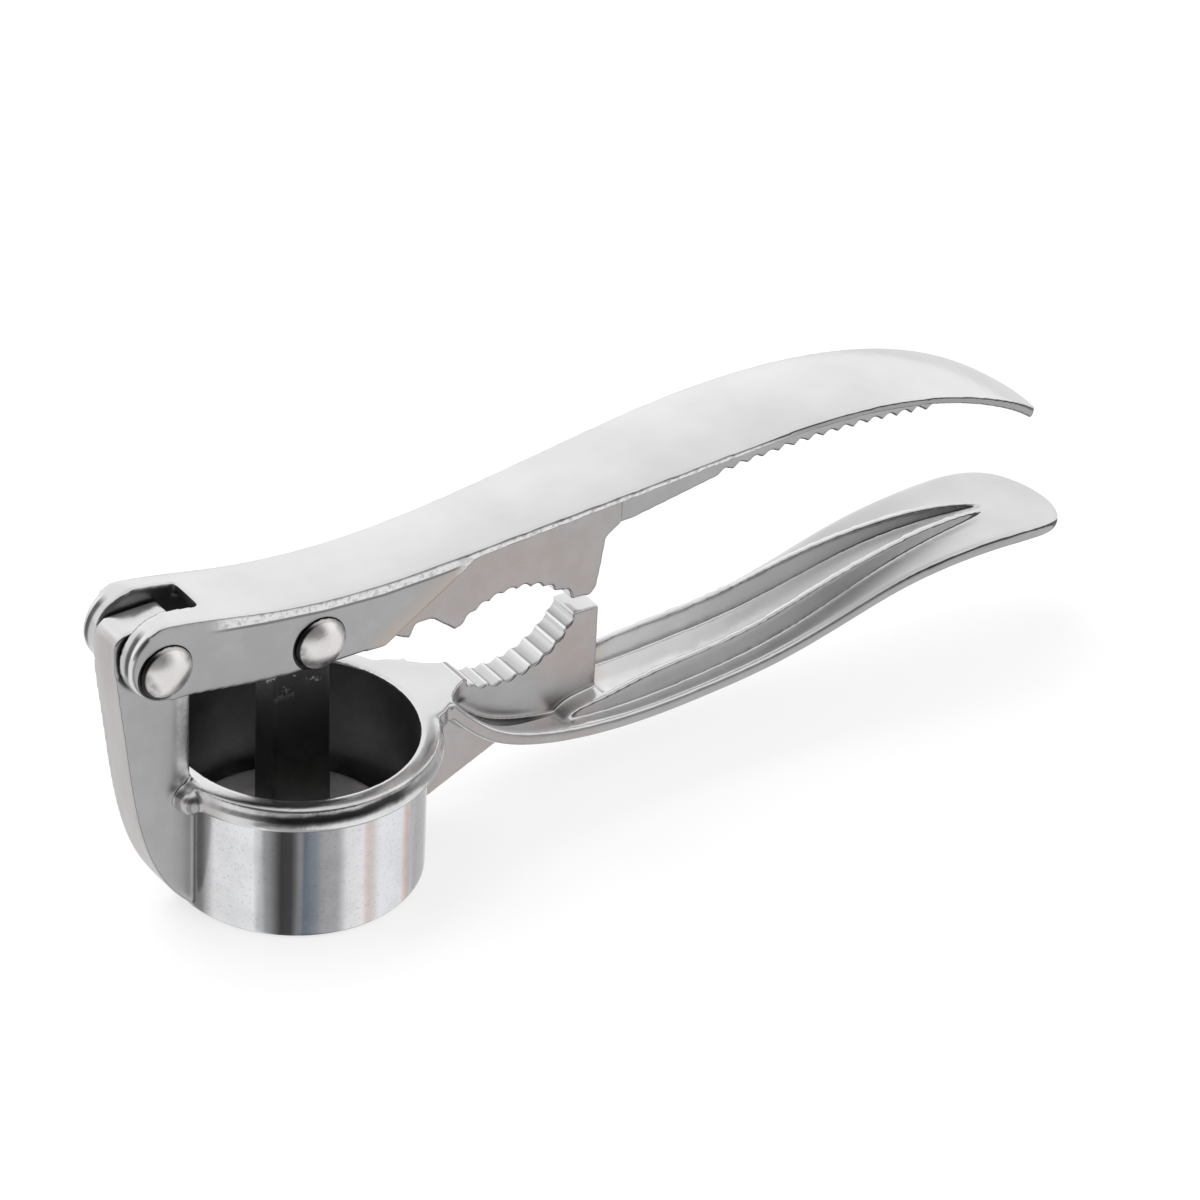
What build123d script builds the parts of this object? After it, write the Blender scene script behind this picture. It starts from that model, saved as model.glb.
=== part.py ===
from build123d import *
import os
from math import asin, atan2, copysign, cos, hypot, pi, sin, sqrt

# Garlic press with nutcracker jaws, cast in metal, drawn closed, in millimetres.
# The origin is the centre of the cup's flat bottom. +X runs along the two grips,
# +Z is up, and the plane Y = 0 is the plane of symmetry.

# ---------------------------------------------------------------- cup
cup_height = 24.0
cup_radius = 18.0
cup_wall = 1.2
cup_floor = 2.2
cup_bottom_round = 0.8
rim_edge_round = 0.5
rim_bulb_radius = 2.2
rim_bulb_x = -20.7
rim_bulb_y = 4.4
rim_bulb_z = 21.3
hole_diameter = 1.8
hole_pitch = 3.0
hole_field_radius = 16.2

# ---------------------------------------------------------------- pivots
hinge_x = -26.3
hinge_z = 47.1
pin_x = -0.7
pin_z = 42.9
shaft_radius = 2.0
shaft_clearance = 0.05
head_radius = 4.2
head_height = 2.0
head_edge = 0.35

# ---------------------------------------------------------------- lever
ear_radius = 6.5
ear_center_x = -25.4
ear_center_z = 48.2
ear_edge_round = 1.0
ear_half_width = 7.0
fork_half_gap = 3.25
slot_end_x = -18.8
channel_end_x = 8.0
skin_thickness = 2.0
skin_overlap = 0.8
crown_radius = 34.0
underside_radius = 115.0
lever_edge_round = 0.45
web_half_width = 2.85
rib_half_width = 1.4
lever_tip_x = 132.4
lever_depth = 26.0
saw_start_x = 73.4
saw_crest_z = 44.15
saw_sag = 0.003
saw_crest_share = 0.37

# ---------------------------------------------------------------- nut jaws
nut_radius = 13.5
upper_nut_center = (35.3, 23.1)
upper_flute_ends = ((27.4, 33.9), (43.1, 34.0))
lower_nut_center = (34.6, 35.2)
lower_flute_ends = ((27.0, 23.9), (46.9, 28.9))
flute_pitch = 2.5
flute_depth = 0.75
tooth_pitch = 2.8
tooth_depth = 1.0
tooth_count = 14
tooth_rise_share = 0.4
jaw_end_x = 51.3
jaw_top_z = 28.9
jaw_foot_z = 13.0
jaw_land_end_x = 25.2

# ---------------------------------------------------------------- post and lower grip
post_half_width = 3.2
post_outer_x = -32.3
post_bevel_x = -23.0
post_bevel_depth = 0.25
knuckle_radius = 6.0
knuckle_center = (-26.6, 48.2)
knuckle_round = 2.6
knuckle_half_width = 2.8
knuckle_top_z = 52.3
seat_radius = 7.0
post_inner_x = -19.8
post_foot_x = -17.5
post_neck_x = -24.0
post_ledge_drop = 2.0
post_root_drop = 3.0
grip_thickness = 2.3
dish_radius = -45.0
grip_edge_round = 0.9
grip_end_x = 139.3
gusset_half_width = 2.6
neck_thickness = 3.2
band_overrun = 6.0
band_overrun_drop = 0.9

# ---------------------------------------------------------------- plunger
stem_half_width = 2.8
stem_left_x = -5.5
stem_right_x = 3.8
stem_eye_radius = 3.4
stem_left_shoulder = 3.6
stem_right_shoulder = 3.0
stem_sink = 1.0
foot_radius = 16.2
foot_center_x = -1.0
stem_flare = 0.8
foot_bottom_z = 3.2
foot_thickness = 3.0
foot_round = 0.6

# half width of the swept strips, and a length that is longer than anything here
band_half_width = 14.0
reach = 200.0


def side(points):
    """Points given as (x, z) in the plane of symmetry."""
    return [(x, 0, z) for x, z in points]


def side_slab(edges, half_width):
    """A side outline thickened to both sides of the plane of symmetry."""
    face = make_face(Wire(edges))
    return extrude(face, amount=half_width, dir=(0, 1, 0), both=True)


def plan_prism(edges, low, high):
    """A closed outline drawn in the XY plane, raised from one height to another."""
    face = make_face(Wire(edges))
    return extrude(face.moved(Location((0, 0, low))), amount=high - low, dir=(0, 0, 1))


def curve(points, tangents=None):
    return Edge.make_spline([Vector(*p) for p in points], tangents=tangents)


def line(a, b):
    return Edge.make_line(Vector(*a), Vector(*b))


def chain(points):
    return [line(a, b) for a, b in zip(points, points[1:])]


def rod(x, z, radius, half_length):
    """A round bar across the object, centred on the plane of symmetry."""
    plane = Plane(origin=(x, 0, z), x_dir=(1, 0, 0), z_dir=(0, -1, 0))
    return extrude(plane * Circle(radius), amount=half_length, both=True)


def block(x0, x1, half_width, z0, z1):
    middle = ((x0 + x1) / 2, 0, (z0 + z1) / 2)
    return Pos(*middle) * Box(x1 - x0, 2 * half_width, z1 - z0)


def mirrored_plan(half):
    """Smooth outline from the +Y half given as (x, half width) points, closed by straight ends."""
    upper = [(x, w, 0) for x, w in half]
    lower = [(x, -w, 0) for x, w in half]
    return [curve(upper), line(upper[-1], lower[-1]), curve(lower), line(lower[0], upper[0])]


def fluted_arc(center, ends):
    """A row of hollow flutes on the nut radius, seen from the side, between two (x, z) points."""
    first, last = (atan2(z - center[1], x - center[0]) for x, z in ends)
    count = round(nut_radius * abs(last - first) / flute_pitch)
    step = (last - first) / count

    def at(angle, radius):
        return Vector(center[0] + radius * cos(angle), 0, center[1] + radius * sin(angle))

    return [
        Edge.make_three_point_arc(
            at(first + i * step, nut_radius),
            at(first + (i + 0.5) * step, nut_radius + flute_depth),
            at(first + (i + 1) * step, nut_radius))
        for i in range(count)
    ]


def edge_drop(radius, half_width):
    """How far an arc across the strip falls from its middle to its edge; a negative radius rises."""
    return copysign(abs(radius) - sqrt(radius**2 - half_width**2), radius)


def swept_band(path_points, thickness, top_radius, under_radius):
    """A strip that follows a side curve along the middle of its top. Across, each face is an arc."""
    path = curve(side(path_points))
    plane = Plane(origin=path @ 0, x_dir=(0, 1, 0), z_dir=path % 0)

    def across(height, radius):
        edge_height = height - edge_drop(radius, band_half_width)
        return Edge.make_three_point_arc(*[
            plane.from_local_coords(Vector(w, h))
            for w, h in ((-band_half_width, edge_height), (0, height), (band_half_width, edge_height))
        ])

    top = across(0, top_radius)
    bottom = across(-thickness, under_radius)
    ends = [line(tuple(top @ k), tuple(bottom @ k)) for k in (0, 1)]
    section = make_face(Wire([top, ends[1], bottom, ends[0]]))
    return sweep(section, path=Wire([path]))


# ---------------------------------------------------------------- lever
lever_top = [
    (-34, 55.6),
    (ear_center_x, 55.1),
    (-10, 52.0),
    (10, 49.9),
    (30, 50.7),
    (55, 53.0),
    (78, 54.5),
    (100, 52.9),
    (115, 48.8),
    (lever_tip_x, 38.2),
]
lever_plan = [
    (-36, 6.95),
    (-16, 6.95),
    (4, 6.95),
    (30, 7.4),
    (50, 8.5),
    (72, 9.4),
    (92, 9.1),
    (112, 8.4),
    (123, 7.2),
    (lever_tip_x, 3.9),
]
cheek_end_x = 12.0
web_start_x = 19.0
crease_lean = 1.6
crease_height = 40.0
cheek_low_edge = [(-15.5, 40.4), (3.9, 38.6), (12.5, 37.4)]
upper_tooth = [(17.7, 34.7), (18.6, 36.9), (21.6, 36.7), (25.6, 33.4)]
upper_block = [
    (45.9, 33.5),
    (46.4, 31.6),
    (49.8, 31.2),
    (50.8, 32.4),
    (51.5, 36.0),
    (52.2, 40.6),
    (55.0, 42.4),
]
saw_rib_start = [(52.0, 41.2), (58.0, 41.2)]
saw_rib_back = [(116.0, 44.6), (121.5, 44.4), (115.0, 47.6), (103.0, 51.0), (78.0, 53.2), (52.0, 51.5)]


def lever_skin():
    band = swept_band(lever_top, skin_thickness, crown_radius, underside_radius)
    skin = band & plan_prism(mirrored_plan(lever_plan), 0, reach)
    long_edges = [e for e in skin.edges() if e.length > reach / 2]
    return fillet(long_edges, lever_edge_round)


def core_plan():
    """Both cheeks, swept in to the thickness of the jaw web along a crease that leans forwards."""
    edges = []
    for sign in (1, -1):
        wide = sign * ear_half_width
        thin = sign * web_half_width
        bend_x = (cheek_end_x + web_start_x) / 2
        edges.append(line((-reach, wide, 0), (cheek_end_x, wide, 0)))
        edges.append(curve(
            [(cheek_end_x, wide, 0), (bend_x, (wide + thin) / 2, 0), (web_start_x, thin, 0)],
            [(1, 0, 0), (1, 0, 0)]))
        edges.append(line((web_start_x, thin, 0), (reach, thin, 0)))
    edges.append(line((reach, web_half_width, 0), (reach, -web_half_width, 0)))
    edges.append(line((-reach, ear_half_width, 0), (-reach, -ear_half_width, 0)))
    face = make_face(Wire(edges)).moved(Location((-crease_lean * crease_height, 0, 0)))
    return extrude(face, amount=reach, dir=(crease_lean, 0, 1))


def lever_core():
    """Fork ears, cheeks and the upper nut jaw, from one side outline that ends inside the skin."""
    sink = skin_thickness - skin_overlap
    flutes = fluted_arc(upper_nut_center, upper_flute_ends)
    ear_low = (ear_center_x, ear_center_z - ear_radius)
    ear_high = (ear_center_x, ear_center_z + ear_radius - sink)
    top = [ear_high] + [(x, z - sink) for x, z in lever_top[2:6]]
    cheek = [ear_low] + cheek_low_edge + upper_tooth[:1]
    edges = [curve(side(top))]
    edges += chain(side([ear_high, ear_low]))
    edges.append(curve(side(cheek), [(1, 0, 0), (1, 0, -0.3)]))
    edges += chain(side(upper_tooth) + [tuple(flutes[0] @ 0)])
    edges += flutes
    edges += chain([tuple(flutes[-1] @ 1)] + side(upper_block + top[-1:]))
    ear = rod(ear_center_x, ear_center_z, ear_radius, ear_half_width)
    ear = fillet(ear.edges().filter_by(GeomType.CIRCLE), ear_edge_round)
    return (side_slab(edges, ear_half_width) & core_plan()) + ear


def saw_rib():
    """Thin rib under the grip with a row of saw teeth."""
    crest_x = saw_start_x + tooth_count * tooth_pitch * saw_crest_share

    def tip_height(x):
        return saw_crest_z - saw_sag * (x - crest_x) ** 2

    points = saw_rib_start + [(saw_start_x, tip_height(saw_start_x))]
    for i in range(tooth_count):
        x = saw_start_x + i * tooth_pitch
        points.append((x + tooth_rise_share * tooth_pitch, tip_height(x) + tooth_depth))
        points.append((x + tooth_pitch, tip_height(x + tooth_pitch)))
    points += saw_rib_back
    return side_slab(chain(side(points + points[:1])), rib_half_width)


def lever():
    under_crown = swept_band(lever_top, lever_depth, crown_radius, crown_radius)
    body = lever_skin() + (lever_core() & under_crown) + saw_rib()
    behind = block(-reach, ear_center_x, band_half_width, 0, reach)
    body = body - (behind - rod(ear_center_x, ear_center_z, ear_radius, band_half_width))
    roof = curve(side([(x, z - skin_thickness) for x, z in lever_top[:5]]))
    below = [tuple(roof @ 1), (lever_top[4][0], 0, 0), (lever_top[0][0], 0, 0), tuple(roof @ 0)]
    channel = side_slab([roof, *chain(below)], fork_half_gap)
    body = body - (channel & block(-reach, channel_end_x, fork_half_gap, 0, reach))
    body = body - block(-reach, slot_end_x, fork_half_gap, 0, reach)
    for x, z in ((hinge_x, hinge_z), (pin_x, pin_z)):
        body = body - rod(x, z, shaft_radius, reach)
    return body


# ---------------------------------------------------------------- body casting
grip_top = [
    (22.6, 23.7),
    (26.0, 19.9),
    (30.5, 16.2),
    (37.0, 13.6),
    (46.0, 12.0),
    (56.0, 11.4),
    (68.0, 11.8),
    (80.0, 12.9),
    (92.0, 15.4),
    (104.0, 18.3),
    (116.0, 19.6),
    (128.0, 19.3),
    (grip_end_x, 17.6),
]
grip_plan = [
    (20, 7.4),
    (28, 7.8),
    (38, 8.7),
    (55, 9.4),
    (85, 9.5),
    (108, 9.6),
    (122, 9.9),
    (129.5, 9.7),
    (134.6, 8.2),
    (138.0, 4.8),
    (grip_end_x, 0),
]
ridge = [
    (42.6, 11.5),
    (45.0, 13.5),
    (50, 14.4),
    (57, 15.5),
    (66, 16.2),
    (80, 17.4),
    (92, 19.8),
    (104, 21.4),
    (115, 21.7),
    (123, 20.7),
    (128.8, 19.2),
]
wall_plan = [
    (42.6, 6.1),
    (54, 6.2),
    (78, 5.7),
    (92, 5.0),
    (104, 4.1),
    (115, 3.0),
    (123, 1.9),
    (129, 0.5),
]
groove_plan = [
    (43.5, 5.0),
    (54, 5.0),
    (78, 4.5),
    (92, 3.8),
    (104, 2.9),
    (115, 1.8),
    (123, 0.8),
    (127.2, 0.05),
]
post_outer_edge = [(-31.2, 37.5), (-28.4, 18.5), (-24.4, 7.6), (post_foot_x, 0)]
post_throat = [(post_inner_x, 38.5), (-21.0, 40.6), (post_neck_x, 41.2)]
neck_plan = [(15, 7.4), (21.5, 7.4), (24.5, 4.6), (28, web_half_width)]
gusset_corners = [(18.5, 3.6), (36.5, 11.4), (30, 15.5), (24, 20), (18.5, 20)]
rim_bead = [
    (cup_radius + cup_wall, 19.5),
    (21.0, 20.1),
    (21.6, 21.6),
    (21.0, 23.2),
    (19.6, cup_height),
]


def cup():
    outer = cup_radius + cup_wall
    r = cup_bottom_round
    e = rim_edge_round
    profile = [
        line((0, 0, 0), (outer - r, 0, 0)),
        Edge.make_three_point_arc(
            Vector(outer - r, 0, 0),
            Vector(outer - r + r * sin(pi / 4), 0, r - r * cos(pi / 4)),
            Vector(outer, 0, r)),
        line((outer, 0, r), side(rim_bead)[0]),
        curve(side(rim_bead), [(1, 0, 0), (-1, 0, 0)]),
        line(side(rim_bead)[-1], (cup_radius + e, 0, cup_height)),
        Edge.make_three_point_arc(
            Vector(cup_radius + e, 0, cup_height),
            Vector(cup_radius + e - e * sin(pi / 4), 0, cup_height - e + e * cos(pi / 4)),
            Vector(cup_radius, 0, cup_height - e)),
        line((cup_radius, 0, cup_height - e), (cup_radius, 0, cup_floor)),
        line((cup_radius, 0, cup_floor), (0, 0, cup_floor)),
        line((0, 0, cup_floor), (0, 0, 0)),
    ]
    return revolve(make_face(Wire(profile)), axis=Axis.Z)


def press_holes():
    rows = int(hole_field_radius / (hole_pitch * sqrt(3) / 2))
    places = []
    for row in range(-rows, rows + 1):
        y = row * hole_pitch * sqrt(3) / 2
        shift = 0 if row % 2 else hole_pitch / 2
        for column in range(-rows - 2, rows + 3):
            x = column * hole_pitch + shift
            if hypot(x, y) <= hole_field_radius:
                places.append(Pos(x, y, 0) * Circle(hole_diameter / 2))
    return extrude(Sketch() + places, amount=cup_floor)


def post():
    """Upright web from the cup to the hinge knuckle, with a round seat for the fork ears."""
    shoulder_z = knuckle_center[1]
    outer_top = (post_outer_x, shoulder_z)
    outer_edge = curve(side([outer_top] + post_outer_edge), [(0.02, 0, -1), (1, 0, -0.55)])
    corners = [
        (post_foot_x, 0),
        (post_foot_x, cup_height - post_root_drop),
        (post_inner_x, cup_height - post_ledge_drop),
        *post_throat,
        (post_neck_x, shoulder_z),
        outer_top,
    ]
    outline = [outer_edge, *chain(side(corners))]
    half_plan = [
        (-reach, post_half_width),
        (post_bevel_x, post_half_width),
        (post_inner_x, post_half_width - post_bevel_depth),
        (0, post_half_width),
    ]
    other_half = [(x, -w) for x, w in reversed(half_plan)]
    plan = chain([(x, w, 0) for x, w in half_plan + other_half + half_plan[:1]])
    bevelled = plan_prism(plan, 0, reach)
    seated = side_slab(outline, post_half_width) & bevelled
    seated = seated - rod(ear_center_x, ear_center_z, seat_radius, reach)
    knuckle = rod(*knuckle_center, knuckle_radius, knuckle_half_width)
    knuckle = knuckle + block(
        post_outer_x, knuckle_center[0], knuckle_half_width, shoulder_z - 1, knuckle_top_z)
    knuckle = knuckle & block(post_outer_x, 0, knuckle_half_width, 0, knuckle_top_z)
    cross_edges = knuckle.edges().filter_by(Axis.Y)
    corner = cross_edges.sort_by(lambda e: e.center().X - e.center().Z)[0]
    inner_slab = side_slab(outline, knuckle_half_width) & bevelled
    return seated + inner_slab + fillet(corner, knuckle_round)


def rim_bulbs():
    """The rim swells where it runs into the post, on both sides."""
    bulbs = []
    for y in (rim_bulb_y, -rim_bulb_y):
        center = Vector(rim_bulb_x, y, rim_bulb_z)
        inward = Vector(-rim_bulb_x, -y, 0)
        along_rim = inward.cross(Vector(0, 0, 1))
        bulbs.append(Plane(origin=center, x_dir=inward, z_dir=along_rim) * Sphere(rim_bulb_radius))
    return bulbs


def grip_skin():
    beyond_end = (grip_end_x + band_overrun, grip_top[-1][1] - band_overrun_drop)
    band = swept_band(grip_top + [beyond_end], grip_thickness, dish_radius, dish_radius)
    near = [(x, -w, 0) for x, w in grip_plan]
    far = [(x, w, 0) for x, w in reversed(grip_plan[:-1])]
    outline = [curve(near + far, [(1, 0, 0), (-1, 0, 0)]), line(far[-1], near[0])]
    skin = band & plan_prism(outline, 0, reach)
    long_edges = [e for e in skin.edges() if e.length > reach / 2]
    return fillet(long_edges, grip_edge_round)


def grip_walls():
    """Two low walls on the skin that close to a point, with a groove between them."""
    floor_points = side(grip_top[4:12])
    floor = curve(floor_points)
    under = curve([(x, 0, z - grip_thickness / 2) for x, _, z in floor_points])
    top = curve(side(ridge))
    hump = side_slab([
        top,
        line(tuple(top @ 1), tuple(under @ 1)),
        under,
        line(tuple(under @ 0), tuple(top @ 0)),
    ], band_half_width)
    hump = hump & plan_prism(mirrored_plan(wall_plan), 0, reach)
    above = [tuple(floor @ 1), (grip_end_x, 0, reach), (0, 0, reach), tuple(floor @ 0)]
    cut = side_slab([floor, *chain(above)], band_half_width)
    cut = cut & block(jaw_end_x, reach, reach, 0, reach)
    return hump - (cut & plan_prism(mirrored_plan(groove_plan), 0, reach))


def lower_jaw():
    flutes = fluted_arc(lower_nut_center, lower_flute_ends)
    under = curve([(x, 0, z - grip_thickness / 2) for x, z in grip_top[0:6]])
    start = (rim_bead[-1][0], 0, cup_height)
    land_end = (jaw_land_end_x, 0, cup_height)
    block_end = side([(jaw_end_x, jaw_top_z), (jaw_end_x, jaw_foot_z)])
    edges = chain([start, land_end, tuple(flutes[0] @ 0)])
    edges += flutes
    edges += chain([tuple(flutes[-1] @ 1), *block_end, tuple(under @ 1)])
    edges.append(under)
    edges += chain([tuple(under @ 0), start])
    return side_slab(edges, web_half_width)


def neck():
    """Short bridge that flares from the jaw into the cup's rim."""
    return plan_prism(mirrored_plan(neck_plan), cup_height - neck_thickness, cup_height)


def gusset():
    """Web that braces the grip's root against the cup."""
    return side_slab(chain(side(gusset_corners + gusset_corners[:1])), gusset_half_width)


def body_casting():
    solid = cup() + post() + rim_bulbs() + neck() + gusset()
    solid = solid + grip_skin() + grip_walls() + lower_jaw()
    inside = Pos(0, 0, cup_floor) * Cylinder(
        cup_radius, reach, align=(Align.CENTER, Align.CENTER, Align.MIN))
    inside = inside & block(post_inner_x, reach, reach, cup_floor, cup_height)
    solid = solid - inside - press_holes()
    return solid - rod(hinge_x, hinge_z, shaft_radius + shaft_clearance, reach)


# ---------------------------------------------------------------- plunger
def plunger():
    foot = Pos(foot_center_x, 0, foot_bottom_z) * Cylinder(
        foot_radius, foot_thickness, align=(Align.CENTER, Align.CENTER, Align.MIN))
    foot = fillet(foot.edges(), foot_round)
    outline = [
        (stem_left_x, foot_bottom_z + stem_sink),
        (stem_right_x + stem_flare, foot_bottom_z + stem_sink),
        (stem_right_x, pin_z - stem_right_shoulder),
        (pin_x + stem_eye_radius, pin_z),
        (pin_x - stem_eye_radius, pin_z),
        (stem_left_x, pin_z - stem_left_shoulder),
    ]
    stem = side_slab(chain(side(outline + outline[:1])), stem_half_width)
    eye = rod(pin_x, pin_z, stem_eye_radius, stem_half_width)
    solid = foot + stem + eye
    return solid - rod(pin_x, pin_z, shaft_radius + shaft_clearance, reach)


# ---------------------------------------------------------------- rivets
def rivet(x, z):
    """A shaft with a low domed head on each side."""
    solid = rod(x, z, shaft_radius, ear_half_width)
    rise = head_height - head_edge
    dome_radius = (head_radius**2 + rise**2) / (2 * rise)
    half_angle = asin(head_radius / dome_radius) / 2
    middle = Vector(
        dome_radius * sin(half_angle), head_height - dome_radius * (1 - cos(half_angle)))
    profile = [
        line((0, 0, 0), (head_radius, 0, 0)),
        line((head_radius, 0, 0), (head_radius, head_edge, 0)),
        Edge.make_three_point_arc(Vector(head_radius, head_edge), middle, Vector(0, head_height)),
        line((0, head_height, 0), (0, 0, 0)),
    ]
    head = revolve(make_face(Wire(profile)), axis=Axis.Y)
    far_head = Pos(x, ear_half_width, z) * head
    return solid + far_head + mirror(far_head, about=Plane.XZ)


parts = {
    "body_casting": body_casting,
    "lever": lever,
    "plunger": plunger,
    "hinge_rivet": lambda: rivet(hinge_x, hinge_z),
    "plunger_rivet": lambda: rivet(pin_x, pin_z),
}

os.makedirs("parts", exist_ok=True)
for name, make in parts.items():
    export_step(make(), f"parts/{name}.step")
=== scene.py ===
import math

import bpy
from mathutils import Matrix, Vector


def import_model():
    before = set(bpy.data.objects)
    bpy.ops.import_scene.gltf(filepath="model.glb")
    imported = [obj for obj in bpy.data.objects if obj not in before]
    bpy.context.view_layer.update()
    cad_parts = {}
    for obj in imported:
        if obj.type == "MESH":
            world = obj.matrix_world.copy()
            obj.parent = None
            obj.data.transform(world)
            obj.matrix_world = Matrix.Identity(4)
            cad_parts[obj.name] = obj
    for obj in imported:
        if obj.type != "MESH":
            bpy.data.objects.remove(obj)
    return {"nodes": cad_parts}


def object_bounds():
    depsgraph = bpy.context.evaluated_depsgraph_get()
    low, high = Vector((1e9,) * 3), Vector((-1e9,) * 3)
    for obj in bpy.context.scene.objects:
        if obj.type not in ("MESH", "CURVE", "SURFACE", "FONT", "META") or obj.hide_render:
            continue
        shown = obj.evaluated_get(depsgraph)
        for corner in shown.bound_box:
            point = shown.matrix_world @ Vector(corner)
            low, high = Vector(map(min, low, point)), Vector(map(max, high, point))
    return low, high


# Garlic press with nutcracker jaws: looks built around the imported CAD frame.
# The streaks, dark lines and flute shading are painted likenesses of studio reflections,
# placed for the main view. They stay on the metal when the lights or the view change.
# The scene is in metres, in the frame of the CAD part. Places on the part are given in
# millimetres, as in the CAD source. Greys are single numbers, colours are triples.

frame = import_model()
nodes = frame["nodes"]
cad_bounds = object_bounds()
MM = 0.001

# ---------------------------------------------------------------- the view
AZIMUTH = math.radians(-32.8)
ELEVATION = math.radians(35.0)
ROLL = math.radians(2.8)
EYE_DISTANCE = 0.8526
EYE_PIVOT = Vector((0, 0, 0.024))
LENS = 176
SENSOR_WIDTH = 36
FACING = Vector((math.sin(AZIMUTH), -math.cos(AZIMUTH), 0))
RIGHTWARD = Vector((math.cos(AZIMUTH), math.sin(AZIMUTH), 0))

# ---------------------------------------------------------------- places on the part, in mm
HINGE = (-26.3, 47.1)
PIN = (-0.7, 42.9)
HEAD_RADIUS = 4.2
EAR = (-25.4, 48.2)
EAR_HALF_WIDTH = 7.0
SLOT_HALF_WIDTH = 3.35
SLOT_END_X = 8.2
CUP_TOP = 24.0
CUP_INNER_RADIUS = 18.0
CUP_OUTER_RADIUS = 19.2
BEAD_LOW = 19.4
BEAD_RADIUS = 22.0
POST_INNER_X = -19.6
FLUTE_CENTRE = (34.6, 35.2)
FLUTE_START = math.radians(-123.9)
FLUTE_STEP = math.radians(10.75)
JAW_HALF_WIDTH = 3.0
GROOVE_START_X = 51.0
LEVER_HEIGHT = 60

# ---------------------------------------------------------------- colours
BLACK = 0.04
# tops are painted lighter and sides darker: painted light and shade on one chrome
LIT_POLISHED_TOP = (0.83, 0.83, 0.835)
SIDE_SHADE_GREY = (0.47, 0.47, 0.475)
SIDE_SHADE_WARM = (0.50, 0.445, 0.425)
CREASE_SHADE = (0.40, 0.395, 0.395)
# painted shade inside the cup and in the fork's slot
DARK_ZONE_SHADE = (0.26, 0.26, 0.265)
STEM_TINT = (0.95, 0.94, 0.93)

# painted reflections: streaks down the outside of the cup: angle from its front in degrees, colour
CUP_REFLECTION_STREAKS = [
    (-180, (0.72, 0.72, 0.73)),
    (-160, (0.30, 0.30, 0.31)),
    (-148, (0.78, 0.78, 0.79)),
    (-112, (0.66, 0.66, 0.67)),
    (-100, (0.22, 0.22, 0.23)),
    (-92, (0.62, 0.62, 0.63)),
    (-62, (0.20, 0.20, 0.20)),
    (-44, (0.24, 0.235, 0.23)),
    (-37, (0.88, 0.88, 0.89)),
    (-18, (0.95, 0.96, 0.97)),
    (-11, (0.62, 0.63, 0.64)),
    (-6, (0.06, 0.06, 0.06)),
    (-1, (0.09, 0.09, 0.10)),
    (2, (0.52, 0.52, 0.53)),
    (4, (0.21, 0.24, 0.29)),
    (9, (0.25, 0.28, 0.32)),
    (12, (0.40, 0.40, 0.41)),
    (19, (0.46, 0.46, 0.47)),
    (23, (0.88, 0.88, 0.89)),
    (31, (0.92, 0.92, 0.93)),
    (33, (0.80, 0.66, 0.61)),
    (36, (0.72, 0.69, 0.67)),
    (40, (0.94, 0.95, 0.97)),
    (54, (0.88, 0.90, 0.94)),
    (57, (0.80, 0.56, 0.48)),
    (60, (0.66, 0.66, 0.67)),
    (64, (0.95, 0.95, 0.96)),
    (95, (0.60, 0.60, 0.61)),
    (106, (0.18, 0.18, 0.19)),
    (118, (0.70, 0.70, 0.71)),
    (150, (0.80, 0.80, 0.81)),
]

# painted reflection tones across the cup's bead, from its foot (0) to its top (1)
BEAD_FRONT = [
    (0.06, 0.70), (0.24, 0.97), (0.40, 0.88), (0.50, 0.22), (0.57, 0.05),
    (0.72, 0.06), (0.78, 0.42), (0.84, 0.88), (0.95, 0.70),
]
BEAD_PLAIN = [(0.06, 0.55), (0.26, 0.95), (0.45, 0.70), (0.62, 0.90), (0.84, 0.62)]

# painted light and shade across one flute of the lower jaw, from ridge to ridge
FLUTE_TONES = [(0.0, 0.98), (0.10, 0.34), (0.22, 0.50), (0.55, 0.66), (0.85, 0.74), (1.0, 0.98)]

# painted reflection tones across a round end of the fork, from its outer to its inner side
EAR_TONES = [
    (0.0, 0.45), (0.14, 0.90), (0.24, 0.80), (0.32, 0.10), (0.50, 0.14), (0.60, 0.62), (1.0, 0.74),
]

# edge of the lever's top plate above the cheek: X and Z
EDGE_LINE = [
    (-30, 54.9), (-25.4, 54.36), (-18, 52.68), (-10, 51.3),
    (0, 49.92), (10, 49.2), (20, 49.32), (30, 49.92),
]

# painted highlight and tints across the crease between cheek and jaw, by how far along
CREASE_TINTS = [
    (0.0, SIDE_SHADE_GREY), (0.34, (0.58, 0.50, 0.45)), (0.46, (0.50, 0.47, 0.455)),
    (0.58, (0.70, 0.68, 0.66)), (0.66, (0.74, 0.72, 0.70)), (0.74, (0.52, 0.47, 0.45)),
    (1.0, SIDE_SHADE_WARM),
]

# painted shade and reflection streaks in warm greys on the post's outer end
POST_TONES = [(0.35, (0.56, 0.525, 0.515)), (0.65, (0.64, 0.62, 0.615))]

# painted light and shade up the plunger, from the table (0) to STEM_TOP (1)
STEM_TOP = 40
STEM_TONES = [(0.16, 0.85), (0.20, 0.42), (0.50, 0.16), (0.80, 0.075), (1.0, 0.065)]

# painted light and shade along the far wall of the grip's groove, from the jaw to the tip
GROOVE_TONES = [
    (0.0, (0.60, 0.58, 0.57)), (0.05, (0.82, 0.66, 0.55)), (0.12, 0.95),
    (0.55, 0.80), (0.80, 0.42), (0.97, 0.16),
]


# ---------------------------------------------------------------- rounded castings
def rounded(node, voxel, passes):
    """Turns a sharp CAD mesh into a casting with soft edges, without touching the CAD mesh itself."""
    piece = nodes[node]
    remesh = piece.modifiers.new("remesh", "REMESH")
    remesh.mode = "VOXEL"
    remesh.voxel_size = voxel * MM
    remesh.use_smooth_shade = True
    smooth = piece.modifiers.new("soft_edges", "SMOOTH")
    smooth.factor = 0.5
    smooth.iterations = passes


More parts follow.
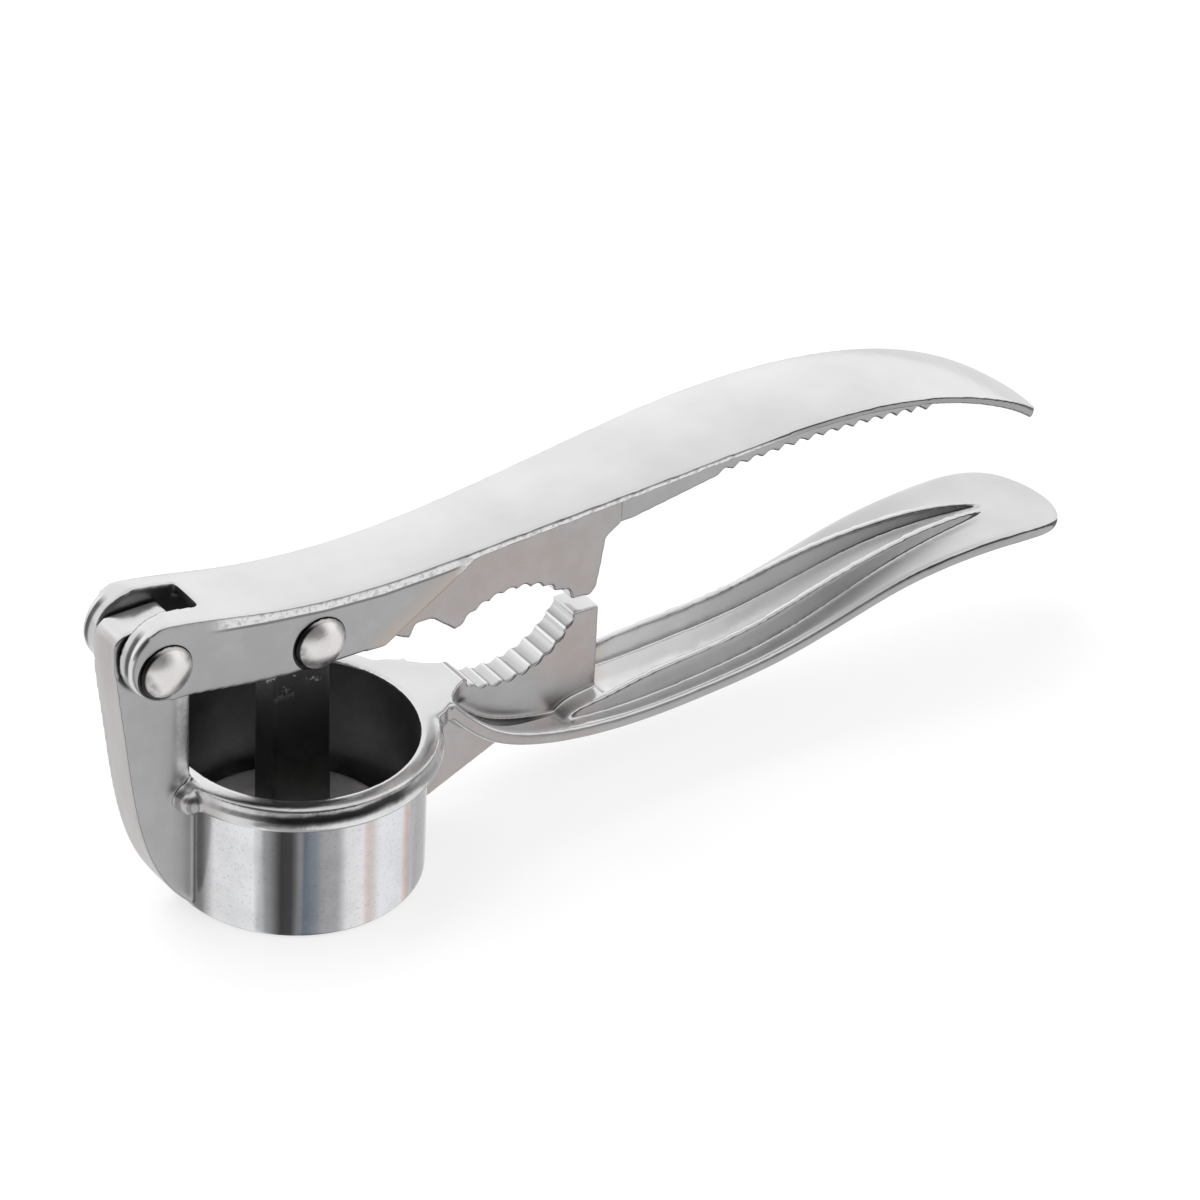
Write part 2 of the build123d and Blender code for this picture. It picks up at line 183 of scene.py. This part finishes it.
rounded("body_casting", voxel=0.31, passes=7)
rounded("lever", voxel=0.36, passes=4)
rounded("plunger", voxel=0.36, passes=4)
rounded("hinge_rivet", voxel=0.22, passes=3)
rounded("plunger_rivet", voxel=0.22, passes=3)


# ---------------------------------------------------------------- node helpers
def rgba(colour):
    """Four numbers for a grey or a colour."""
    if isinstance(colour, (tuple, list)):
        return (*colour[:3], 1)
    return (colour, colour, colour, 1)


def times(colour, factor):
    return tuple(factor * c for c in colour)


def fill_ramp(ramp_node, stops):
    """Gives a colour ramp its (position, grey or colour) stops."""
    elements = ramp_node.color_ramp.elements
    while len(elements) > 1:
        elements.remove(elements[-1])
    for i, (place, colour) in enumerate(stops):
        element = elements[0] if i == 0 else elements.new(place)
        element.position = place
        element.color = rgba(colour)


class Shader:
    """A thin helper around one material's node tree."""

    def __init__(self, tree):
        self.tree = tree
        self.tree.nodes.clear()

    def node(self, kind, **settings):
        n = self.tree.nodes.new(kind)
        for key, value in settings.items():
            setattr(n, key, value)
        return n

    def link(self, source, target):
        self.tree.links.new(source, target)

    def feed(self, socket, value):
        if isinstance(value, bpy.types.NodeSocket):
            self.link(value, socket)
        else:
            socket.default_value = value

    def math(self, operation, a, b=0.0):
        n = self.node("ShaderNodeMath", operation=operation)
        self.feed(n.inputs[0], a)
        self.feed(n.inputs[1], b)
        return n.outputs[0]

    def add(self, a, b):
        return self.math("ADD", a, b)

    def less(self, a, b):
        return self.math("SUBTRACT", a, b)

    def size(self, value):
        return self.math("ABSOLUTE", value)

    def product(self, *factors):
        result = factors[0]
        for factor in factors[1:]:
            result = self.math("MULTIPLY", result, factor)
        return result

    def length(self, a, b):
        """Length of the vector with the sides a and b."""
        return self.math("SQRT", self.add(self.product(a, a), self.product(b, b)))

    def dot(self, vector, direction):
        n = self.node("ShaderNodeVectorMath", operation="DOT_PRODUCT")
        self.link(vector, n.inputs[0])
        n.inputs[1].default_value = direction
        return n.outputs["Value"]

    def split(self, vector):
        n = self.node("ShaderNodeSeparateXYZ")
        self.link(vector, n.inputs[0])
        return n.outputs[:3]

    def position(self):
        """Place in the part's own frame, in metres, which moves with its body."""
        return self.node("ShaderNodeTexCoord").outputs["Object"]

    def place(self):
        """X, Y and Z in the part's own frame, in millimetres."""
        n = self.node("ShaderNodeVectorMath", operation="SCALE")
        self.link(self.position(), n.inputs[0])
        n.inputs["Scale"].default_value = 1 / MM
        return self.split(n.outputs[0])

    def facing(self):
        """X, Y and Z of the direction a face looks in, in the part's own frame."""
        return self.split(self.node("ShaderNodeTexCoord").outputs["Normal"])

    def noise(self, scale, detail=2.0, roughness=0.5, stretch=(1, 1, 1)):
        """Cloudy 0 to 1 pattern; scale is in repeats per metre."""
        mapping = self.node("ShaderNodeMapping")
        self.link(self.position(), mapping.inputs["Vector"])
        mapping.inputs["Scale"].default_value = stretch
        n = self.node("ShaderNodeTexNoise")
        self.link(mapping.outputs[0], n.inputs["Vector"])
        n.inputs["Scale"].default_value = scale
        n.inputs["Detail"].default_value = detail
        n.inputs["Roughness"].default_value = roughness
        return n.outputs["Fac"]

    def ramp(self, value, stops):
        n = self.node("ShaderNodeValToRGB")
        fill_ramp(n, stops)
        self.feed(n.inputs[0], value)
        return n.outputs["Color"]

    def remap(self, value, low, high, start=0.0, end=1.0, kind="SMOOTHSTEP"):
        n = self.node("ShaderNodeMapRange", interpolation_type=kind)
        ends = {"From Min": low, "From Max": high, "To Min": start, "To Max": end}
        self.feed(n.inputs["Value"], value)
        for name, end_value in ends.items():
            self.feed(n.inputs[name], end_value)
        return n.outputs[0]

    def share(self, value, low, high):
        """Even 0 to 1 between low and high."""
        return self.remap(value, low, high, kind="LINEAR")

    def rise(self, value, low, high):
        """0 up to low, growing softly to 1 at high."""
        return self.remap(value, low, high)

    def fall(self, value, low, high):
        """1 up to low, sinking softly to 0 at high."""
        return self.remap(value, low, high, 1.0, 0.0)

    def mix(self, share, a, b, blend="MIX"):
        n = self.node("ShaderNodeMix", data_type="RGBA", blend_type=blend)
        self.feed(n.inputs[0], share)
        for socket, v in ((n.inputs[6], a), (n.inputs[7], b)):
            self.feed(socket, v if isinstance(v, bpy.types.NodeSocket) else rgba(v))
        return n.outputs[2]

    def tinted(self, colour, tint):
        return self.mix(1.0, colour, tint, "MULTIPLY")

    def bump(self, height, strength, distance, normal=None):
        """Relief from a height pattern; distance is in millimetres."""
        n = self.node("ShaderNodeBump")
        n.inputs["Strength"].default_value = strength
        n.inputs["Distance"].default_value = distance * MM
        self.link(height, n.inputs["Height"])
        if normal is not None:
            self.link(normal, n.inputs["Normal"])
        return n.outputs["Normal"]

    def shelter(self, distance):
        """1 in the open, falling to 0 in slots, grooves and inner corners; distance in millimetres."""
        n = self.node("ShaderNodeAmbientOcclusion", samples=6)
        n.inputs["Distance"].default_value = distance * MM
        return n.outputs["AO"]

    def sideways(self):
        """1 on faces that look straight to the side of the tool, 0 on its tops and ends."""
        return self.rise(self.size(self.facing()[1]), 0.70, 0.92)

    def metal(self, colour, roughness, normal):
        surface = self.node("ShaderNodeBsdfPrincipled")
        surface.inputs["Metallic"].default_value = 1.0
        self.feed(surface.inputs["Base Color"], colour)
        self.feed(surface.inputs["Roughness"], roughness)
        self.link(normal, surface.inputs["Normal"])
        out = self.node("ShaderNodeOutputMaterial")
        self.link(surface.outputs[0], out.inputs["Surface"])


def new_material(name):
    """An empty node material and the helper for its tree."""
    material = bpy.data.materials.new(name)
    material.use_nodes = True
    return material, Shader(material.node_tree)


# ---------------------------------------------------------------- the cup
def axis_distance(s):
    """Distance from the cup's axis, in millimetres."""
    x, y, z = s.place()
    return s.length(x, y)


def cup_angle(s):
    """Angle round the cup's axis in radians, 0 where the cup faces the viewer."""
    return s.math("ARCTAN2", s.dot(s.position(), RIGHTWARD), s.dot(s.position(), FACING))


def streaks(s):
    """Painted reflection: colour of the standing streaks that a shiny round wall shows, by angle round
    the cup.
    """
    wander = s.product(s.less(s.noise(130, stretch=(1, 1, 0.25)), 0.5), 0.05)
    turns = s.math("DIVIDE", s.add(cup_angle(s), wander), 2 * math.pi)
    return s.ramp(s.add(turns, 0.5), [((angle + 180) / 360, colour) for angle, colour in CUP_REFLECTION_STREAKS])


def cup_wall(s):
    """1 on the cup's outer wall below the bead."""
    x, y, z = s.place()
    radius = axis_distance(s)
    outside = s.rise(radius, CUP_OUTER_RADIUS - 0.7, CUP_OUTER_RADIUS - 0.4)
    near = s.fall(radius, CUP_OUTER_RADIUS + 0.3, CUP_OUTER_RADIUS + 0.6)
    return s.product(outside, near, s.fall(z, BEAD_LOW, BEAD_LOW + 0.5))


def rim_bead(s):
    """1 on the thick bead round the cup's mouth, away from the post and the grip."""
    x, y, z = s.place()
    radius = axis_distance(s)
    outside = s.rise(radius, CUP_OUTER_RADIUS - 0.6, CUP_OUTER_RADIUS)
    ring = s.product(outside, s.fall(radius, BEAD_RADIUS, BEAD_RADIUS + 0.2))
    high = s.product(s.rise(z, BEAD_LOW, BEAD_LOW + 0.4), s.fall(z, CUP_TOP + 0.2, CUP_TOP + 0.5))
    past_post = s.rise(x, -18, -15)
    before_grip = s.fall(x, 12, 17)
    return s.product(ring, high, past_post, before_grip)


def bead_streaks(s):
    """Painted reflection: long dark and bright streaks that run round the bead and sink to the right."""
    x, y, z = s.place()
    angle = cup_angle(s)
    drift = s.product(s.less(s.noise(160, 3.0, 0.6), 0.5), 0.35)
    level = s.less(s.share(z, BEAD_LOW, CUP_TOP), s.product(angle, 0.16))
    level = s.add(level, drift)
    front = s.product(s.rise(angle, -0.45, -0.05), s.fall(angle, 0.75, 1.15))
    return s.mix(front, s.ramp(level, BEAD_PLAIN), s.ramp(level, BEAD_FRONT))


def inside_cup(s):
    """1 on the cup's inner wall and floor."""
    x, y, z = s.place()
    within = s.fall(axis_distance(s), CUP_INNER_RADIUS, CUP_INNER_RADIUS + 0.4)
    return s.product(within, s.fall(z, CUP_TOP - 0.8, CUP_TOP - 0.2))


# ---------------------------------------------------------------- lower jaw, post and grip
def beside_jaw(s):
    """1 on the grip's top face in the shelter of the lower jaw, as a tapering crescent of painted
    shadow.
    """
    x, y, z = s.place()
    across = s.size(y)
    beside = s.product(s.rise(x, 21.5, 24), s.fall(x, 38, 47))
    crescent_edge = s.remap(x, 26, 46, 6.4, 3.6)
    past_jaw = s.rise(across, JAW_HALF_WIDTH - 0.1, JAW_HALF_WIDTH + 0.3)
    within_crescent = s.math("GREATER_THAN", crescent_edge, across)
    return s.product(beside, past_jaw, within_crescent, s.fall(z, 20, 22))


def jaw_flutes(s, colour):
    """Paints light and shade on every flute of the lower jaw, from a bright ridge into a grey hollow."""
    x, y, z = s.place()
    angle = s.math("ARCTAN2", s.less(z, FLUTE_CENTRE[1]), s.less(x, FLUTE_CENTRE[0]))
    share = s.math("FRACT", s.math("DIVIDE", s.less(angle, FLUTE_START), FLUTE_STEP))
    along = s.product(s.rise(x, 26.8, 27.2), s.fall(x, 46.4, 46.9))
    across = s.fall(s.size(y), JAW_HALF_WIDTH - 0.15, JAW_HALF_WIDTH)
    crosswise = s.fall(s.sideways(), 0.0, 0.6)
    fluted = s.product(along, across, crosswise, s.rise(z, 19.8, 20.6))
    return s.mix(fluted, colour, s.ramp(share, FLUTE_TONES))


def post_inner_edge(s):
    """1 on the strip of the post's side that borders the cup's mouth."""
    x, y, z = s.place()
    from_left = s.rise(x, POST_INNER_X - 3.0, POST_INNER_X - 2.0)
    to_mouth = s.fall(x, POST_INNER_X, POST_INNER_X + 0.2)
    return s.product(from_left, to_mouth, s.rise(z, CUP_TOP - 2, CUP_TOP))


def back_of_post(s):
    """1 on the post's outer end, which looks away from the cup."""
    x, y, z = s.place()
    outward = s.fall(s.facing()[0], -0.80, -0.55)
    return s.product(outward, s.fall(x, -20, -18))


def groove_wall(s):
    """1 on the far wall of the groove in the lower grip."""
    x, y, z = s.place()
    far = s.product(s.rise(y, 0.4, 0.8), s.fall(y, 5.6, 6.0))
    near_facing = s.fall(s.facing()[1], -0.45, -0.25)
    return s.product(far, near_facing, s.rise(x, GROOVE_START_X, GROOVE_START_X + 0.8))


def groove_floor(s):
    """1 on the bottom of the groove in the lower grip, fading out towards the grip's tip."""
    x, y, z = s.place()
    inside = s.fall(s.size(y), 4.6, 5.0)
    level = s.rise(s.facing()[2], 0.60, 0.80)
    reach = s.product(s.rise(x, GROOVE_START_X, GROOVE_START_X + 0.8), s.fall(x, 108, 126))
    return s.product(inside, level, reach)


def body_details(s, colour, rough):
    """Everything that only the body casting shows: returns its colour and roughness."""
    x, y, z = s.place()
    # painted shade with upright painted reflection streaks on the post's outer end
    outer = back_of_post(s)
    upright_streaks = s.noise(260, 3.0, 0.6, (1, 1, 0.10))
    colour = s.mix(outer, colour, s.ramp(upright_streaks, POST_TONES))
    rough = s.mix(outer, rough, 0.30)

    # blotchy painted highlight on the post's strip beside the cup's mouth
    blotchy_highlight = s.ramp(s.noise(320, 4.0, 0.7), [(0.35, 0.52), (0.65, 0.86)])
    colour = s.mix(post_inner_edge(s), colour, blotchy_highlight)
    # painted shadow: black crescent beside the lower jaw
    colour = s.mix(beside_jaw(s), colour, BLACK)
    colour = jaw_flutes(s, colour)

    # painted light and shade along the groove's far wall
    groove_tones = s.ramp(s.share(x, 50, 128), GROOVE_TONES)
    colour = s.mix(groove_wall(s), colour, groove_tones)
    # painted highlight: the groove's floor is near white
    colour = s.mix(groove_floor(s), colour, 0.98)
    soft_tip = s.product(s.rise(x, 78, 96), s.less(1.0, s.sideways()))
    rough = s.mix(soft_tip, rough, 0.50)

    wall = cup_wall(s)
    fine_spots = s.remap(s.noise(1900, 3.0, 0.7), 0.28, 0.46, 0.78, 1.0)
    stain = s.remap(s.noise(180, 4.0, 0.65), 0.30, 0.60, 0.90, 1.0)
    # painted reflection streaks on the cup's wall, with spots and stains
    colour = s.mix(wall, colour, s.tinted(streaks(s), s.product(fine_spots, stain)))
    rough = s.mix(wall, rough, 0.20)
    # painted reflection streaks round the bead, with stains
    colour = s.mix(rim_bead(s), colour, s.tinted(bead_streaks(s), stain))
    return colour, rough


# ---------------------------------------------------------------- lever
def inside_fork(s):
    """1 on the inner walls of the fork's slot."""
    x, y, z = s.place()
    narrow = s.fall(s.size(y), SLOT_HALF_WIDTH, SLOT_HALF_WIDTH + 0.25)
    left = s.fall(x, SLOT_END_X, SLOT_END_X + 0.4)
    steep = s.fall(s.facing()[2], 0.45, 0.60)
    return s.product(narrow, left, steep)


def edge_depth(s):
    """How far a place on the lever's cheek lies below the edge of its top plate, in millimetres."""
    x, y, z = s.place()
    start = EDGE_LINE[0][0]
    end = EDGE_LINE[-1][0]
    stops = [((at - start) / (end - start), height / LEVER_HEIGHT) for at, height in EDGE_LINE]
    edge_height = s.product(s.ramp(s.share(x, start, end), stops), LEVER_HEIGHT)
    return s.less(edge_height, z)


def lever_edge(s, colour):
    """The painted highlight band along the edge of the lever's top plate, with a thin painted shadow
    line under it.
    """
    x, y, z = s.place()
    depth = edge_depth(s)
    before_jaw = s.fall(x, 22, 25)
    cheek = s.product(s.rise(x, -20, -15), before_jaw)
    overhang = s.product(s.rise(x, 22, 25), s.rise(s.size(y), 4.0, 4.4))
    beside_cheek = s.product(cheek, s.fall(depth, 1.45, 1.60))
    under = s.product(s.rise(depth, 1.50, 1.65), s.remap(depth, 1.90, 2.10, 0.6, 0.0))
    # painted shadow: a thin dark line under the edge, beside the cheek
    colour = s.mix(s.product(cheek, under), colour, 0.10)
    # painted highlight along the edge, patchy, and darker towards the tip
    edge_highlight = s.ramp(s.noise(1300, 3.0, 0.7), [(0.36, 0.60), (0.52, 0.95)])
    edge_highlight = s.mix(s.rise(x, 70, 84), edge_highlight, 0.42)
    edge = s.product(s.math("MAXIMUM", overhang, beside_cheek), s.sideways())
    return s.mix(edge, colour, edge_highlight)


def cheek_crease(s, colour):
    """A painted pale highlight along the crease where the cheek sweeps in to the jaw, with a warm tint
    before it.
    """
    x, y, z = s.place()
    across = s.less(x, s.product(s.less(z, 40), 1.6))
    here = s.product(s.rise(across, 6, 9), s.fall(across, 22, 26))
    tints = s.ramp(s.share(across, 6, 26), CREASE_TINTS)
    return s.mix(s.product(here, s.sideways()), colour, tints)


def pin_place(s, axis):
    """Distance from a rivet's axis, and how far to the upper right of it, both in millimetres."""
    x, y, z = s.place()
    right_of = s.less(x, axis[0])
    above = s.less(z, axis[1])
    lean = s.add(s.product(right_of, 0.90), s.product(above, 0.44))
    return s.length(right_of, above), lean


def rivet_shadow(s, colour, axis):
    """A painted shadow: a dark crescent on the cheek round the left of a rivet's head."""
    radius, lean = pin_place(s, axis)
    gap = s.remap(lean, -1.8, -0.2, 0.40, 0.12)
    ring = s.math("LESS_THAN", radius, s.add(gap, HEAD_RADIUS))
    return s.mix(s.product(ring, s.sideways()), colour, BLACK)


def ear_end(s, colour):
    """Painted reflection streaks across the round ends of the fork, dark in the middle where they mirror
    the studio.
    """
    x, y, z = s.place()
    left_of = s.less(EAR[0], x)
    angle = s.math("ARCTAN2", s.less(z, EAR[1]), left_of)
    round_end = s.product(s.rise(left_of, 0.5, 1.5), s.fall(s.sideways(), 0.0, 0.5))
    lit = s.product(s.rise(angle, -0.5, 0.0), s.fall(angle, 0.75, 1.1))
    from_outside = s.less(EAR_HALF_WIDTH, s.size(y))
    bowed = s.less(from_outside, s.product(s.size(angle), 0.35))
    return s.mix(s.product(round_end, lit), colour, s.ramp(s.share(bowed, 0.0, 3.6), EAR_TONES))


def lever_details(s, colour, rough):
    """Everything that only the lever shows: returns its colour and roughness."""
    colour = cheek_crease(s, colour)
    colour = lever_edge(s, colour)
    colour = ear_end(s, colour)
    for axis in (HINGE, PIN):
        colour = rivet_shadow(s, colour, axis)
    return colour, rough


# ---------------------------------------------------------------- plunger
def no_details(s, colour, rough):
    return colour, rough


def all_over(s):
    return 1.0


def stem_shade(s):
    """Painted light and shade of the plunger: pale on the foot, nearly black up the stem, with flecks of
    painted highlight.
    """
    x, y, z = s.place()
    shade = s.ramp(s.share(z, 0.0, STEM_TOP), STEM_TONES)
    # painted highlight flecks near the stem's top
    fleck = s.product(s.rise(s.noise(420, 4.0, 0.75), 0.55, 0.62), s.rise(z, 31, 37))
    return s.mix(fleck, shade, 0.80)


# ---------------------------------------------------------------- chrome plate
def shaded_side_colour(s):
    """Painted shade on the duller side faces: darker than the tops, warmer at the jaws."""
    x, y, z = s.place()
    jaws = s.product(s.rise(x, 14, 26), s.fall(x, 46, 60))
    warmth = s.product(jaws, s.rise(s.noise(70, 3.0, 0.55), 0.32, 0.60))
    fleck = s.remap(s.noise(240, 4.0, 0.65), 0.35, 0.75, 0.0, 0.35)
    return s.mix(fleck, s.mix(warmth, SIDE_SHADE_GREY, SIDE_SHADE_WARM), times(SIDE_SHADE_GREY, 1.25))


def dark_outline(s, colour, dark_from, dark_to):
    """Paints dark reflection lines on the rounded edges between tops and sides, fully so beyond dark_to
    along the tool.
    """
    x, y, z = s.place()
    across = s.size(s.facing()[1])
    edge = s.product(s.rise(across, 0.62, 0.72), s.fall(across, 0.84, 0.92))
    strength = s.remap(x, dark_from, dark_to, 0.55, 0.96)
    return s.mix(s.product(edge, strength), colour, 0.05)


def painted_zone_shade(s, zone_colour):
    """Painted shade for a dark zone: patchy dark, with reddish spots."""
    red_tinted = (1.5 * zone_colour[0], 1.25 * zone_colour[1], 1.2 * zone_colour[2])
    return s.ramp(s.noise(160, 4.0, 0.6), [(0.35, times(zone_colour, 0.8)), (0.60, zone_colour), (0.80, red_tinted)])


def cast_relief(s):
    """Soft waves, fine grain and small pits of a plated casting."""
    wave = s.bump(s.noise(75), 0.30, 0.30)
    grain = s.bump(s.noise(1500, 2.0, 0.6), 0.10, 0.03, wave)
    pits = s.rise(s.noise(1700, 2.0, 0.6), 0.28, 0.38)
    return s.bump(pits, 0.25, 0.03, grain)


def cast_chrome(name, details, outline, dark_zone, zone_colour=DARK_ZONE_SHADE, zone_shading=None):
    """Thin chrome plate on a zinc casting: polished tops, duller sides in painted shade, painted shade
    in creases, and one dark zone of painted shade.
    """
    material, s = new_material(name)
    cloud = s.noise(55, 3.0, 0.55)
    top = s.ramp(cloud, [(0.30, times(LIT_POLISHED_TOP, 0.90)), (0.70, times(LIT_POLISHED_TOP, 1.03))])
    # side faces take the darker colour of painted shade
    colour = s.mix(s.sideways(), top, shaded_side_colour(s))
    rough = s.mix(s.sideways(), s.remap(cloud, 0.3, 0.7, 0.15, 0.23), 0.33)
    colour, rough = details(s, colour, rough)
    # painted shade: colour darkens in slots, grooves and inner corners
    in_the_open = s.rise(s.shelter(1.0), 0.30, 0.72)
    colour = s.mix(in_the_open, s.tinted(colour, CREASE_SHADE), colour)
    # painted dark reflection along the rounded edges
    colour = dark_outline(s, colour, *outline)
    # painted shade over the dark zone: inside the cup, in the fork's slot, and all over the plunger
    zone = dark_zone(s)
    shaded_zone_colour = painted_zone_shade(s, zone_colour)
    if zone_shading is not None:
        shaded_zone_colour = s.tinted(shaded_zone_colour, zone_shading(s))
    colour = s.mix(zone, colour, shaded_zone_colour)
    rough = s.mix(zone, rough, 0.42)
    s.metal(colour, rough, cast_relief(s))
    return material


def rivet_steel(name, axis):
    """Polished steel head: pinkish white in the middle, painted shade grey at both flanks, and painted
    shadow dark round its foot and in sheltered spots.
    """
    material, s = new_material(name)
    cloud = s.noise(300, 3.0, 0.6)
    colour = s.ramp(cloud, [(0.3, (0.88, 0.84, 0.83)), (0.7, (0.97, 0.95, 0.94))])
    radius, lean = pin_place(s, axis)
    # painted shade on both flanks
    flank = s.rise(s.size(s.less(lean, 0.3)), 2.2, 3.4)
    patchy = s.remap(s.noise(520, 3.0, 0.6), 0.35, 0.65, 0.35, 0.95)
    colour = s.mix(s.product(flank, patchy), colour, (0.34, 0.33, 0.33))
    # painted shadow round the head's foot
    foot = s.rise(radius, HEAD_RADIUS - 0.55, HEAD_RADIUS - 0.30)
    colour = s.mix(s.product(foot, s.remap(lean, -0.6, 1.4, 1.0, 0.35)), colour, 0.03)
    # painted shade in sheltered spots
    colour = s.mix(s.rise(s.shelter(1.2), 0.35, 0.85), 0.12, colour)
    s.metal(colour, s.remap(cloud, 0.3, 0.7, 0.26, 0.36), s.bump(s.noise(420), 0.3, 0.1))
    return material


def paint(node, material):
    piece = nodes[node]
    piece.data.materials.clear()
    piece.data.materials.append(material)


body_chrome = cast_chrome("body_chrome", body_details, (96, 108), inside_cup)
lever_chrome = cast_chrome("lever_chrome", lever_details, (68, 80), inside_fork)
# the plunger is one zone of painted light and shade
plunger_chrome = cast_chrome("plunger_chrome", no_details, (68, 80), all_over, STEM_TINT, stem_shade)
paint("body_casting", body_chrome)
paint("lever", lever_chrome)
paint("plunger", plunger_chrome)
paint("hinge_rivet", rivet_steel("hinge_rivet_steel", HINGE))
paint("plunger_rivet", rivet_steel("plunger_rivet_steel", PIN))


# ---------------------------------------------------------------- studio
FLOOR_HALF_SIZE = 6.0
FLOOR_PAINT = 0.22
FLOOR_GLOW = 0.74
FLOOR_IN_METAL = (0.80, 0.80, 0.805)
BACKDROP = 0.96
BEHIND = [(0.0, 1.0), (0.35, 1.0), (0.60, 0.96), (0.90, 0.84), (1.0, 0.78)]
AROUND_CAMERA = [(0.0, 0.30), (0.20, 0.16), (0.60, 0.10), (0.80, 0.34), (0.95, 0.74)]
TOWARDS_CAMERA = [(0.0, 0.0), (0.30, 0.10), (0.60, 1.0)]

# place, size and power of each lamp
LAMPS = {
    "key": ((-0.15, 0.35, 0.75), (0.9, 0.6), 7.0),
    "fill": ((0.5, -0.5, 0.7), (0.7, 0.5), 3.0),
}


def glow(s, colour):
    n = s.node("ShaderNodeEmission")
    n.inputs["Color"].default_value = rgba(colour)
    return n.outputs[0]


def floor_material():
    """Pale floor of matt paint that also glows, so shadows stay faint; light grey in the metal."""
    material, s = new_material("floor")
    paper = s.node("ShaderNodeBsdfDiffuse")
    paper.inputs["Color"].default_value = rgba(FLOOR_PAINT)
    pale = s.node("ShaderNodeAddShader")
    s.link(paper.outputs[0], pale.inputs[0])
    s.link(glow(s, FLOOR_GLOW), pale.inputs[1])
    mirrored = s.node("ShaderNodeLightPath").outputs["Is Glossy Ray"]
    either = s.node("ShaderNodeMixShader")
    s.link(mirrored, either.inputs[0])
    s.link(pale.outputs[0], either.inputs[1])
    s.link(glow(s, FLOOR_IN_METAL), either.inputs[2])
    out = s.node("ShaderNodeOutputMaterial")
    s.link(either.outputs[0], out.inputs["Surface"])
    return material


def floor():
    h = FLOOR_HALF_SIZE
    mesh = bpy.data.meshes.new("floor")
    mesh.from_pydata([(-h, -h, 0), (h, -h, 0), (h, h, 0), (-h, h, 0)], [], [(0, 1, 2, 3)])
    mesh.materials.append(floor_material())
    piece = bpy.data.objects.new("floor", mesh)
    bpy.context.scene.collection.objects.link(piece)


def world():
    """White studio, brightest low down behind the object, with a dark room round the camera."""
    studio = bpy.data.worlds.new("studio")
    bpy.context.scene.world = studio
    studio.use_nodes = True
    s = Shader(studio.node_tree)
    direction = s.node("ShaderNodeTexCoord").outputs["Generated"]
    height = s.split(direction)[2]
    nearness = s.ramp(s.dot(direction, FACING), TOWARDS_CAMERA)
    light = s.mix(nearness, s.ramp(height, BEHIND), s.ramp(height, AROUND_CAMERA))
    to_camera = s.node("ShaderNodeLightPath").outputs["Is Camera Ray"]
    back = s.node("ShaderNodeBackground")
    s.link(s.mix(to_camera, light, BACKDROP), back.inputs["Color"])
    out = s.node("ShaderNodeOutputWorld")
    s.link(back.outputs[0], out.inputs["Surface"])


def area_light(name, place, size, power, target):
    """A soft lamp that lights the floor and is not mirrored in the metal."""
    lamp = bpy.data.lights.new(name, "AREA")
    lamp.shape = "RECTANGLE"
    lamp.size, lamp.size_y = size
    lamp.energy = power
    piece = bpy.data.objects.new(name, lamp)
    piece.location = place
    piece.rotation_euler = (target - Vector(place)).to_track_quat("-Z", "Y").to_euler()
    piece.visible_glossy = False
    bpy.context.scene.collection.objects.link(piece)


def camera(target):
    """A long lens at the viewing angle, aimed at the middle of the object and slightly rolled."""
    backwards = Vector((
        math.sin(AZIMUTH) * math.cos(ELEVATION),
        -math.cos(AZIMUTH) * math.cos(ELEVATION),
        math.sin(ELEVATION)))
    eye = EYE_PIVOT + EYE_DISTANCE * backwards
    aim = (target - eye).normalized()
    right = aim.cross(Vector((0, 0, 1))).normalized()
    up = right.cross(aim)
    tilted_right = math.cos(ROLL) * right + math.sin(ROLL) * up
    tilted_up = math.cos(ROLL) * up - math.sin(ROLL) * right
    rotation = Matrix((tilted_right, tilted_up, -aim)).transposed().to_4x4()
    lens = bpy.data.cameras.new("camera")
    lens.sensor_width = SENSOR_WIDTH
    lens.lens = LENS
    lens.clip_start = 0.01
    lens.clip_end = 50
    piece = bpy.data.objects.new("camera", lens)
    piece.matrix_world = Matrix.Translation(eye) @ rotation
    bpy.context.scene.collection.objects.link(piece)
    bpy.context.scene.camera = piece


low_corner, high_corner = cad_bounds
centre = (low_corner + high_corner) / 2
floor()
world()
camera(centre)
for name, (place, size, power) in LAMPS.items():
    area_light(name, place, size, power, centre)
bpy.context.scene.view_settings.view_transform = "Standard"
